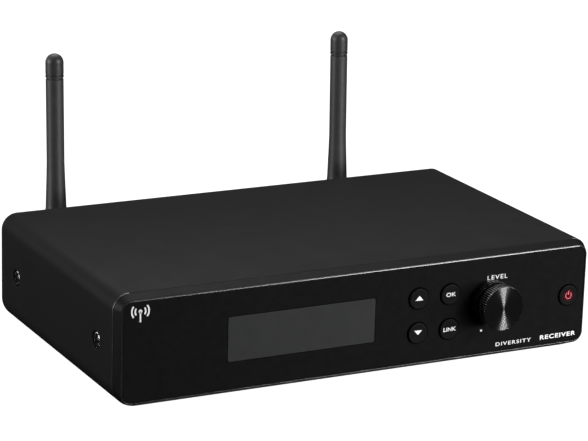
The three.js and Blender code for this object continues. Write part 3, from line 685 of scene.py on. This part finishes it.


def knob(m):
    """Two ribbed bands with a groove between, and a spun face with an engraved pointer."""
    low, high, centre = extent("volume_knob")
    front, rear = low.y, high.y
    radius = (high.x - low.x) / 2
    ribs, per_rib, rib_depth = 60, 8, 0.45
    groove_front, groove_rear, groove_floor = front + 4.4, front + 5.8, radius - 0.7
    hollow, hub_end, bore, bore_end = 7.2, rear - 2.4, 3.3, front + 1.7
    face_bands = 3  # the first rows, before the rim
    rows = [  # y, radius, share of the rib depth that shows
        (front, 0.0, 0), (front, 2.0, 0), (front, radius - 0.2, 0), (front, radius - 0.15, 0),
        (front + 0.15, radius, 1),
        (groove_front - 0.05, radius, 1), (groove_front, radius - 0.05, 1),
        (groove_front + 0.1, groove_floor, 0), (groove_rear - 0.1, groove_floor, 0),
        (groove_rear, radius - 0.05, 1), (groove_rear + 0.05, radius, 1), (rear - 0.25, radius, 1),
        (rear, radius - 0.3, 1), (rear, hollow, 0), (hub_end, hollow, 0), (hub_end, bore, 0),
        (bore_end, bore, 0), (bore_end, 0.0, 0),
    ]
    bm = bmesh.new()
    rings = ribbed_rings(bm, centre, rows, ribs, per_rib, rib_depth, sharpness=1.5)
    for i, (first, second) in enumerate(zip(rings, rings[1:])):
        ribbed = rows[i][2] == rows[i + 1][2] == 1
        if i < face_bands:
            material = FACE
        elif i == face_bands or ribbed:
            material = GRIP
        else:
            # the groove and everything behind the ribs take painted shade
            material = SHADE
        bridge(bm, first, second, material)
        if ribbed:
            shade_valleys(bm.faces, ribs * per_rib, per_rib)
    facing_out(bm)
    turn = Matrix.Rotation(math.radians(9), 4, "Y")
    pointer = prism(rounded_bar(0.42, 2.3, radius - 0.55), -0.3, 0.3)
    bm = cut(bm, moved(pointer, (centre.x, front, centre.z), turn))
    piece("knob_body", bm, [m["knob"], m["knob_face"], m["painted_shade"]], "knob", ["volume_knob"])


def shade_valleys(faces, sides, per_rib):
    """Give all but each rib's crest, in the band of faces made last, painted shade."""
    faces.ensure_lookup_table()
    for i, face in enumerate(faces[-sides:]):
        if 1 < (i + 0.5) % per_rib < per_rib - 1:
            face.material_index = SHADE


def rounded_bar(width, start, end, steps=8):
    """The outline of a slim upright bar with round ends, from start to end above the origin."""
    r = width / 2
    points = []
    for middle, first in ((end - r, 0), (start + r, 180)):
        for i in range(steps + 1):
            angle = math.radians(first + 180 * i / steps)
            points.append((r * math.cos(angle), middle + r * math.sin(angle)))
    return points


# ---- antennas


def leant(bm, side):
    """A shape drawn upright about the hinge, leant back and put on the hinge."""
    return moved(bm, node_centre(f"hinge_pin_{side}"), Matrix.Rotation(-WHIP_LEAN, 4, "X"))


def whip(m, side):
    """The tapered stem on its knuckle."""
    shoulder, root, slim, taper = 5.6, 5.15, 3.68, 6
    foot, end = shoulder + 2.9, WHIP_HEIGHT - CAP_LENGTH - 0.55
    stem = [(0, shoulder), (root - 0.6, shoulder), (root - 0.15, shoulder + 0.2), (root, shoulder + 0.7),
            (root, foot)]
    for i in range(1, taper + 1):
        t = i / taper
        stem.append((root - 0.9 * (1 - (1 - t) ** 2), foot + 6.5 * t))
    stem += [(slim + 0.17, 26), (slim, 32), (slim, end - 0.15), (slim - 0.15, end), (0, end)]
    knuckle = [(0, -3), (4.5, -3), (4.8, -2.7), (4.8, 2.7), (4.5, 3), (0, 3)]
    neck = cuboid((-3, -4.2, 0), (3, 4.2, shoulder + 0.6))
    hole = rod(PIN_BORE, -9, 9, axis="X", sides=SMALL)
    body = joined(lathe(knuckle, axis="X", sides=48), neck, lathe(stem, axis="Z", sides=56))
    piece(f"whip_{side}", leant(cut(body, hole), side), [m["antenna"]], f"whip_{side}",
          [f"antenna_whip_{side}"])


def whip_tip(m, side):
    """The cap over the stem's end, with a slit round it and a domed top."""
    radius, steps = 3.75, 14
    neck, base = radius - 0.65, WHIP_HEIGHT - CAP_LENGTH
    slit, slit_end = WHIP_HEIGHT - 8.95, WHIP_HEIGHT - 8.4
    profile = [(0, base - 0.5), (neck, base - 0.5), (neck, base), (radius - 0.08, base),
               (radius, base + 0.08), (radius, slit), (neck, slit + 0.04), (neck, slit_end - 0.04),
               (radius, slit_end)]
    for i in range(steps):
        a = math.pi / 2 * i / steps
        profile.append((radius * math.cos(a), WHIP_HEIGHT - radius + radius * math.sin(a)))
    profile.append((0, WHIP_HEIGHT))
    piece(f"whip_tip_{side}", leant(lathe(profile, axis="Z", sides=56), side), [m["tip"]], f"whip_{side}",
          [f"antenna_tip_{side}"])


def elbow(m, side):
    """The turned body behind the bayonet ring, and the fork that holds the whip's knuckle."""
    x, y, z = node_centre(f"hinge_pin_{side}")
    start = node_box(f"antenna_elbow_{side}")[0].y
    ring_end = node_box(f"bayonet_ring_{side}")[1].y
    end = y - 6.3
    plug, waist, barrel = 5.6, 4.6, 7.0
    profile = [(0, start), (plug - 0.3, start), (plug, start + 0.3), (plug, ring_end - 2.3),
               (waist, ring_end - 2.3), (waist, ring_end + 0.3), (6.3, ring_end + 0.3),
               (6.85, ring_end + 0.6), (barrel, ring_end + 1.1)]
    for groove in (2.4, 3.8, 5.2):
        at = ring_end + groove
        floor = barrel - 0.25
        profile += [(barrel, at), (floor, at + 0.15), (floor, at + 0.45), (barrel, at + 0.6)]
    profile += [(barrel, end - 1.2), (6.6, end - 0.4), (5.8, end), (0, end)]
    half_slot, outer, cheek, ease = 3.3, 6.1, 5.2, 0.6
    disc = [(0, -outer), (cheek - ease, -outer), (cheek, ease - outer), (cheek, outer - ease),
            (cheek - ease, outer), (0, outer)]
    block = rounded_block(2 * outer, 2 * cheek, 0.7, end - 3, y, 0.1, x, z)
    slot = cuboid((x - half_slot, y - 5.4, z - 10), (x + half_slot, y + 10, z + 10))
    hole = rod(PIN_BORE, -9, 9, (x, y, z), "X", SMALL)
    bm = joined(lathe(profile, (x, 0, z), sides=56), block, lathe(disc, (x, y, z), "X", sides=48))
    piece(f"elbow_{side}", cut(bm, slot, hole), [m["antenna"]], f"elbow_{side}",
          [f"antenna_elbow_{side}"])


def hinge_rivet(m, side):
    low, high, centre = extent(f"hinge_pin_{side}")
    end, radius = (high.x - low.x) / 2, 1.5
    half = [(1.0, end), (radius - 0.1, end - 0.12), (radius, end - 0.4)]
    profile = [(0, -end), *[(r, -x) for r, x in half], *half[::-1], (0, end)]
    rivet = lathe(profile, centre, "X", SMALL)
    piece(f"hinge_rivet_{side}", rivet, [m["steel"]], f"elbow_{side}", [f"hinge_pin_{side}"])


def bayonet_ring(m, side):
    """A straight-knurled ring, cut by a smooth band."""
    low, high, centre = extent(f"bayonet_ring_{side}")
    radius = (high.x - low.x) / 2
    y0, y1 = low.y, high.y
    bore, throat = 5.9, 4.9
    rows = [  # y, radius, share of the rib depth that shows
        (y0, bore, 0), (y0, radius - 0.6, 0), (y0 + 0.15, radius - 0.35, 0), (y0 + 0.6, radius - 0.25, 0),
        (y0 + 2.2, radius - 0.25, 0), (y0 + 2.5, radius - 0.05, 1), (y0 + 2.8, radius, 1),
        (y1 - 1.1, radius, 1), (y1 - 0.7, radius - 0.15, 1), (y1 - 0.3, radius - 0.55, 0),
        (y1, radius - 0.9, 0), (y1, throat, 0), (y1 - 2, throat, 0), (y1 - 2, bore, 0),
    ]
    bm = bmesh.new()
    rings = ribbed_rings(bm, centre, rows, ribs=44, per_rib=6, depth=0.32)
    for first, second in zip(rings, rings[1:] + rings[:1]):
        bridge(bm, first, second)
    facing_out(bm)
    piece(f"knurled_ring_{side}", bm, [m["nickel"]], f"ring_{side}", [f"bayonet_ring_{side}"])


def antenna_jack(m, side):
    """The threaded barrel through the rear panel, with the two lugs that the ring turns on."""
    centre = node_centre(f"antenna_jack_{side}")
    inside, end = PANEL_LOW.y - GAP, node_box(f"antenna_jack_{side}")[1].y
    bore, crest, valley, collar, spigot = 3.7, 6.0, 5.6, 7.6, 4.8
    profile = [(bore, inside - 4), (crest, inside - 4), (crest, inside - 2), (collar, inside - 2),
               (collar, inside), (valley, inside)]
    pitch = 0.7
    for i in range(int((REAR + 2 - inside) / pitch)):
        profile += [(crest, inside + pitch * (i + 0.35)), (valley, inside + pitch * (i + 0.95))]
    profile += [(spigot, REAR + 2.6), (spigot, end - 0.3), (4.5, end), (3.9, end), (bore, end - 0.2)]
    barrel = lathe(profile, on_axis(centre), sides=48, closed=True)
    lug, lug_end = 0.9, 5.6
    lug_profile = [(0, 4.2), (lug, 4.2), (lug, lug_end - 0.2), (lug - 0.15, lug_end), (0, lug_end)]
    at = (centre.x, end - 2.5, centre.z)
    lugs = [lathe([(radius, sign * x) for radius, x in lug_profile], at, "X", sides=16) for sign in (-1, 1)]
    shape = merged(barrel, *lugs)
    piece(f"jack_barrel_{side}", shape, [m["nickel"]], "root", [f"antenna_jack_{side}"])
    hex_nut(m, f"antenna_jack_nut_{side}", radius=8.4, bore=6.3)


def hex_nut(m, node, radius, bore):
    """A hexagonal nut with its corners turned off at both faces."""
    low, high, centre = extent(node)
    at = on_axis(centre)
    points = []
    for i in range(6):
        angle = math.radians(60 * i)
        points.append((centre.x + radius * math.sin(angle), centre.z + radius * math.cos(angle)))
    nut = prism(points, low.y, high.y)
    ease, flat, flare = 0.35, radius * 0.89, bore + 1.3
    keep = [(0, low.y), (flat, low.y), (radius, low.y + ease), (radius, high.y - ease), (flat, high.y),
            (0, high.y)]
    collar = rod(radius + 2, low.y - 1, high.y + 1, at, sides=48)
    corners = cut(collar, lathe(keep, at, sides=48))
    hole = [(0, low.y - 1), (flare, low.y - 1), (bore, low.y + 0.3), (bore, high.y - 0.3),
            (flare, high.y + 1), (0, high.y + 1)]
    bm = cut(nut, corners, lathe(hole, at, sides=40))
    piece(f"{node}_hex", bm, [m["nickel"]], "root", [node])


# ---- rear


def rear_panel(m):
    """The plate, with an opening for everything that goes through it."""
    w, h = PANEL_HIGH.x - PANEL_LOW.x, PANEL_HIGH.z - PANEL_LOW.z
    y0, y1 = PANEL_LOW.y, PANEL_HIGH.y
    bm = rounded_block(w, h, shrunk(CORNER, WALL + GAP), y0, y1, 0.15, steps=10)
    holes = []
    for node, radius in (("balanced_output_shell", 11.6), ("line_output_nut", 5.7),
                         ("antenna_jack_left", 6.3), ("antenna_jack_right", 6.3),
                         ("rear_screw_left", 1.7), ("rear_screw_right", 1.7)):
        holes.append(rod(radius, y0 - 1, y1 + 1, on_axis(node_centre(node)), sides=48))
    for node in ("data_socket", "dc_inlet"):
        low, high = node_box(node)
        holes.append(cuboid((low.x - GAP, y0 - 1, low.z - GAP), (high.x + GAP, y1 + 1, high.z + GAP)))
    piece("rear_plate", cut(bm, *holes), [m["rear"]], "root", ["rear_panel"], bevel=0.08)


def cross_recess(x, y, z, size, width):
    """The cutters for a cross recess in a screw whose head faces +Y."""
    depth = 0.9
    return [cuboid((x - size, y - depth, z - width / 2), (x + size, y + 1, z + width / 2)),
            cuboid((x - width / 2, y - depth, z - size), (x + width / 2, y + 1, z + size))]


def pan_screw(m, name, x, z, seat, head, height, shank, length, stands_for=()):
    """A round-headed screw that faces +Y. head and shank are radii."""
    top = seat + height
    profile = [(0, seat - length), (shank, seat - length), (shank, seat), (head, seat),
               (head, seat + height * 0.35)]
    for degrees in (20, 40, 60, 75):
        a = math.radians(degrees)
        profile.append((head * (0.45 + 0.55 * math.cos(a)), seat + height * (0.35 + 0.65 * math.sin(a))))
    profile += [(head * 0.4, top), (0, top)]
    bm = cut(lathe(profile, (x, 0, z), sides=SMALL), *cross_recess(x, top, z, head * 0.5, head * 0.2))
    piece(name, bm, [m["steel"]], "root", stands_for)


def rear_screws(m):
    for side, _ in SIDES:
        node = f"rear_screw_{side}"
        x, _, z = node_centre(node)
        pan_screw(m, f"{node}_head", x, z, PANEL_HIGH.y + GAP, head=2.6, height=1.4, shank=1.4, length=5,
                  stands_for=[node])


def balanced_output(m):
    """The socket's flanged shell, held by a screw at two of its corners."""
    low, high, (x, _, z) = extent("balanced_output_shell")
    flange, mouth, floor = PANEL_HIGH.y + GAP, high.y, low.y
    screw_x, screw_z, bore = 9.9, 12.4, 9.7
    plate = rounded_block(high.x - low.x, high.z - low.z, 3.0, flange, mouth, 0.35, x, z, steps=8)
    cup = rod(11.3, floor, mouth - 0.6, (x, 0, z))
    inside = lathe([(0, floor - 1), (bore, floor - 1), (bore, mouth - 0.5), (bore + 0.5, mouth),
                    (bore + 1.5, mouth + 1), (0, mouth + 1)], (x, 0, z))
    places = [(x - screw_x, z + screw_z), (x + screw_x, z - screw_z)]
    holes = [rod(1.6, flange - 1, mouth + 1, (at_x, 0, at_z), sides=24) for at_x, at_z in places]
    shell = cut(joined(plate, cup), inside, *holes)
    piece("balanced_shell", shell, [m["nickel"]], "root", ["balanced_output_shell"])
    for i, (at_x, at_z) in enumerate(places, 1):
        pan_screw(m, f"flange_screw_{i}", at_x, at_z, mouth, head=2.3, height=1.1, shank=1.4, length=3.2)


def balanced_insert(m):
    """The disc in the shell, with its keyway and three contact pins."""
    y0, y1 = (corner.y for corner in node_box("balanced_output_insert"))
    x, _, z = node_centre("balanced_output_shell")
    radius, socket, pin = 9.4, 1.5, 1.2
    disc = lathe([(0, y0), (radius, y0), (radius, y1 - 0.4), (radius - 0.4, y1), (0, y1)], (x, 0, z))
    sockets = []
    for i in (1, 2, 3):
        node = f"balanced_output_pin_{i}"
        at = on_axis(node_centre(node))
        hole = [(0, y0 - 1), (socket, y0 - 1), (socket, y1 - 0.2), (socket + 0.5, y1 + 0.3), (0, y1 + 0.3)]
        sockets.append(lathe(hole, at, sides=24))
        start, end = (corner.y for corner in node_box(node))
        profile = [(0, start), (pin, start), (pin, end - 0.8), (1.08, end - 0.4), (0.8, end - 0.1),
                   (0.4, end), (0, end)]
        piece(f"contact_pin_{i}", lathe(profile, at, sides=24), [m["nickel"]], "root", [node])
    keyway = cuboid((x - 1.2, y1 - 1.5, z + 7.4), (x + 1.2, y1 + 1, z + 10.5))
    piece("balanced_insert", cut(disc, *sockets, keyway), [m["plastic"]], "root",
          ["balanced_output_insert"])


def line_output(m):
    """The jack's block behind the panel, its threaded neck and its bore."""
    low, high = node_box("line_output_jack")
    x, _, z = node_centre("line_output_nut")
    back = PANEL_LOW.y - GAP
    crest, valley, pitch, bore_radius = 5.4, 5.05, 0.75, 3.25
    block = rounded_block(high.x - low.x, high.z - low.z, 0.8, low.y, back, 0.3, x, z)
    thread = [(0, back - 1), (crest, back - 1)]
    for i in range(int((high.y - back) / pitch) - 1):
        thread += [(crest, back + pitch * (i + 0.35)), (valley, back + pitch * (i + 0.9))]
    thread += [(crest - 0.2, high.y - 0.3), (crest - 0.5, high.y), (0, high.y)]
    bore = [(0, low.y + 3), (bore_radius, low.y + 3), (bore_radius, high.y - 0.4), (3.7, high.y),
            (4.6, high.y + 1), (0, high.y + 1)]
    neck = lathe(thread, (x, 0, z), sides=48)
    bm = cut(joined(block, neck), lathe(bore, (x, 0, z), sides=48))
    piece("line_jack", bm, [m["plastic"]], "root", ["line_output_jack"])
    hex_nut(m, "line_output_nut", radius=8.0, bore=5.7)


def data_socket(m):
    """A block with a cavity, a latch slot above it and a row of contacts on its floor."""
    low, high, (x, _, z) = extent("data_socket")
    floor = low.y + 2.5
    block = rounded_block(high.x - low.x, high.z - low.z, 0.6, low.y, high.y, 0.25, x, z)
    cavity = cuboid((x - 5, floor, z - 3.5), (x + 5, high.y + 1, z + 3.5))
    latch = cuboid((x - 2, floor, z + 3.0), (x + 2, high.y + 1, z + 5.4))
    bm = cut(block, cavity, latch)
    piece("data_block", bm, [m["plastic"]], "root", ["data_socket"], bevel=0.1)
    contacts = []
    count, pitch, half_width = 6, 1.27, 0.2
    for i in range(count):
        at = x + (i - (count - 1) / 2) * pitch
        near, far = (at - half_width, floor + 0.1, z - 3.45), (at + half_width, high.y - 2.5, z - 2.9)
        contacts.append(cuboid(near, far))
    piece("data_contacts", merged(*contacts), [m["gold"]], "root")


def dc_inlet(m):
    """The supply socket, a bored block with a centre pin."""
    low, high, centre = extent("dc_inlet")
    at = on_axis(centre)
    block = rounded_block(high.x - low.x, high.z - low.z, 0.8, low.y, high.y, 0.3, centre.x, centre.z)
    bore_radius = 2.9
    bore = [(0, low.y + 3), (bore_radius, low.y + 3), (bore_radius, high.y - 0.3), (3.2, high.y),
            (4.2, high.y + 1), (0, high.y + 1)]
    pin_hole = rod(1.3, low.y - 1, low.y + 4, at, sides=24)
    bm = cut(block, lathe(bore, at, sides=40), pin_hole)
    piece("dc_block", bm, [m["plastic"]], "root", ["dc_inlet"])
    start, end = (corner.y for corner in node_box("dc_inlet_pin"))
    profile = [(0, start), (1.0, start), (1.0, end - 0.6), (0.8, end - 0.15), (0.4, end), (0, end)]
    piece("dc_pin", lathe(profile, at, sides=24), [m["nickel"]], "root", ["dc_inlet_pin"])


def cable_grip(m):
    """A folded hook with a soft bend, held by its foot against the panel."""
    low, high = node_box("cable_grip")
    back, reach, base, top = low.y, high.y, low.z, high.z
    thick, ledge = 1.6, low.z + 5
    outer = [(back, base), (back + thick, base), (back + thick, ledge - 0.9), (back + thick + 0.9, ledge)]
    outer += [(reach - 2.2, ledge), (reach - 0.65, ledge + 0.65), (reach, ledge + 2.2), (reach, top - 0.5),
              (reach - 0.4, top), (reach - thick + 0.4, top), (reach - thick, top - 0.4)]
    outer += [(reach - thick, ledge + 2.3), (reach - thick - 0.7, ledge + thick),
              (back + 0.9, ledge + thick), (back, ledge + thick - 0.9)]
    bm = bmesh.new()
    first = [bm.verts.new((low.x, y, z)) for y, z in outer]
    second = [bm.verts.new((high.x, y, z)) for y, z in outer]
    bm.faces.new(first)
    bm.faces.new(second[::-1])
    bridge(bm, first, second)
    facing_out(bm)
    piece("lead_hook", bm, [m["steel"]], "root", ["cable_grip"], bevel=0.25)


def rear_prints(m):
    y, top = PANEL_HIGH.y + INK / 2, PANEL_HIGH.z - 3.2
    labels = {"antenna_jack_left": "ANT 2", "antenna_jack_right": "ANT 1", "line_output_nut": "LINE",
              "data_socket": "DATA", "dc_inlet": "DC IN"}
    words = [text_shape(text, 1.9, node_centre(node).x, top, y, facing=1) for node, text in labels.items()]
    piece("rear_labels", merged(*words), [m["ink"]], "root")


# ---- inside


def inner_finishes(m):
    """The hidden CAD nodes keep their shapes and take a real finish."""
    nodes = {
        "tin": ("chassis_tray", "tuner_shield_left", "tuner_shield_right", "volume_control"),
        "board": ("main_board", "front_board"),
        "cable": ("ribbon_cable",),
        "nickel": ("volume_shaft", "volume_nut"),
        "gold": ("antenna_contact_left", "antenna_contact_right"),
        "plastic": tuple(f"{key}_switch" for key in KEYS),
    }
    for finish, names in nodes.items():
        for name in names:
            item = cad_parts[name]
            if not item.material_slots:
                item.data.materials.append(None)
            for holder in item.material_slots:
                holder.material = m[finish]


# ---- stage


def area_light(name, place, aim, width, height, power):
    data = bpy.data.lights.new(name, "AREA")
    data.shape = "RECTANGLE"
    data.size, data.size_y = width, height
    data.energy = power
    item = add_object(name, data)
    item.location = place
    item.rotation_euler = (Vector(aim) - Vector(place)).to_track_quat("-Z", "Y").to_euler()
    return item


def seen_or_reflected(tree, seen, reflected):
    """A value that differs between the eye and reflections, so that a white backdrop lights little."""
    path = tree.nodes.new("ShaderNodeLightPath")
    choose = tree.nodes.new("ShaderNodeMapRange")
    fill_in(choose, {"To Min": reflected, "To Max": seen})
    tree.links.new(path.outputs["Is Camera Ray"], choose.inputs["Value"])
    return choose.outputs["Result"]


def backdrop():
    """A floor and a world that are white to the eye and dim in reflections."""
    bpy.ops.mesh.primitive_plane_add(size=12)
    floor = bpy.context.object
    floor.name = "floor"
    paper = surface("paper", (0.86, 0.86, 0.86), 0.9, specular=0.0)
    tree = paper.node_tree
    shader = tree.nodes["Principled BSDF"]
    shader.inputs["Emission Color"].default_value = (1, 1, 1, 1)
    tree.links.new(seen_or_reflected(tree, 0.22, 0.008), shader.inputs["Base Color"])
    tree.links.new(seen_or_reflected(tree, 1.0, 0.0), shader.inputs["Emission Strength"])
    floor.data.materials.append(paper)

    world = bpy.data.worlds.new("studio")
    bpy.context.scene.world = world
    world.use_nodes = True
    tree = world.node_tree
    background = tree.nodes["Background"]
    background.inputs["Color"].default_value = (1, 1, 1, 1)
    tree.links.new(seen_or_reflected(tree, 1.0, 0.012), background.inputs["Strength"])
    bpy.context.scene.view_settings.view_transform = "Standard"


def lights():
    """Each light's place and aim in metres, then its width, height and power."""
    key_low = area_light("key_low", (0.655, -1.12, 0.34), (0.055, -0.06, 0.03), 0.28, 0.36, 9.6)
    key_low.visible_diffuse = False  # it only gives highlights, above all on the knob's face
    area_light("key_high", (0.80, -1.12, 0.70), (0.08, -0.06, 0.04), 0.36, 0.3, 6.3)
    near_glow = area_light("near_glow", (0.34, -0.45, 0.06), (0.09, -0.06, 0.022), 0.6, 0.08, 4.6)
    near_glow.visible_glossy = False  # it only lifts the right of the front, without a reflection
    area_light("top_box", (0.1, 0.75, 1.35), (0, 0.05, 0), 1.5, 1.1, 19.5)
    area_light("left_strip", (-1.4, 0.27, 0.34), (0, 0.08, 0.07), 0.42, 0.6, 14.5)
    area_light("low_back", (-0.85, 1.25, 0.35), (-0.1, 0, 0.03), 0.6, 0.6, 1.8)


CAMERA_PLACE = Vector((-0.449479, -0.871844, 0.328707))
CAMERA_YAW, CAMERA_PITCH, CAMERA_ROLL = 27.247, 16.068, 1.638
CAMERA_LENS = 158.55


def camera():
    yaw, pitch, roll = (math.radians(a) for a in (CAMERA_YAW, CAMERA_PITCH, CAMERA_ROLL))
    ahead = Vector((math.sin(yaw) * math.cos(pitch), math.cos(yaw) * math.cos(pitch), -math.sin(pitch)))
    level = ahead.cross(Vector((0, 0, 1))).normalized()
    upward = level.cross(ahead)
    right = math.cos(roll) * level + math.sin(roll) * upward
    up = math.cos(roll) * upward - math.sin(roll) * level
    data = bpy.data.cameras.new("camera")
    data.lens = CAMERA_LENS
    data.sensor_width = 36
    data.clip_start = 0.01
    item = add_object("camera", data)
    turn = Matrix((right, up, -ahead)).transposed().to_4x4()
    item.matrix_world = Matrix.Translation(CAMERA_PLACE) @ turn
    bpy.context.scene.camera = item


# ---- everything


def build():
    camera()
    m = make_materials()
    housing_sleeve(m)
    front_bezel(m)
    side_screws(m)
    fascia(m)
    display(m)
    keys(m)
    front_prints(m)
    knob(m)
    rear_panel(m)
    rear_screws(m)
    balanced_output(m)
    balanced_insert(m)
    line_output(m)
    data_socket(m)
    dc_inlet(m)
    cable_grip(m)
    rear_prints(m)
    for side, _ in SIDES:
        antenna_jack(m, side)
        bayonet_ring(m, side)
        elbow(m, side)
        hinge_rivet(m, side)
        whip(m, side)
        whip_tip(m, side)
    inner_finishes(m)
    backdrop()
    lights()


build()
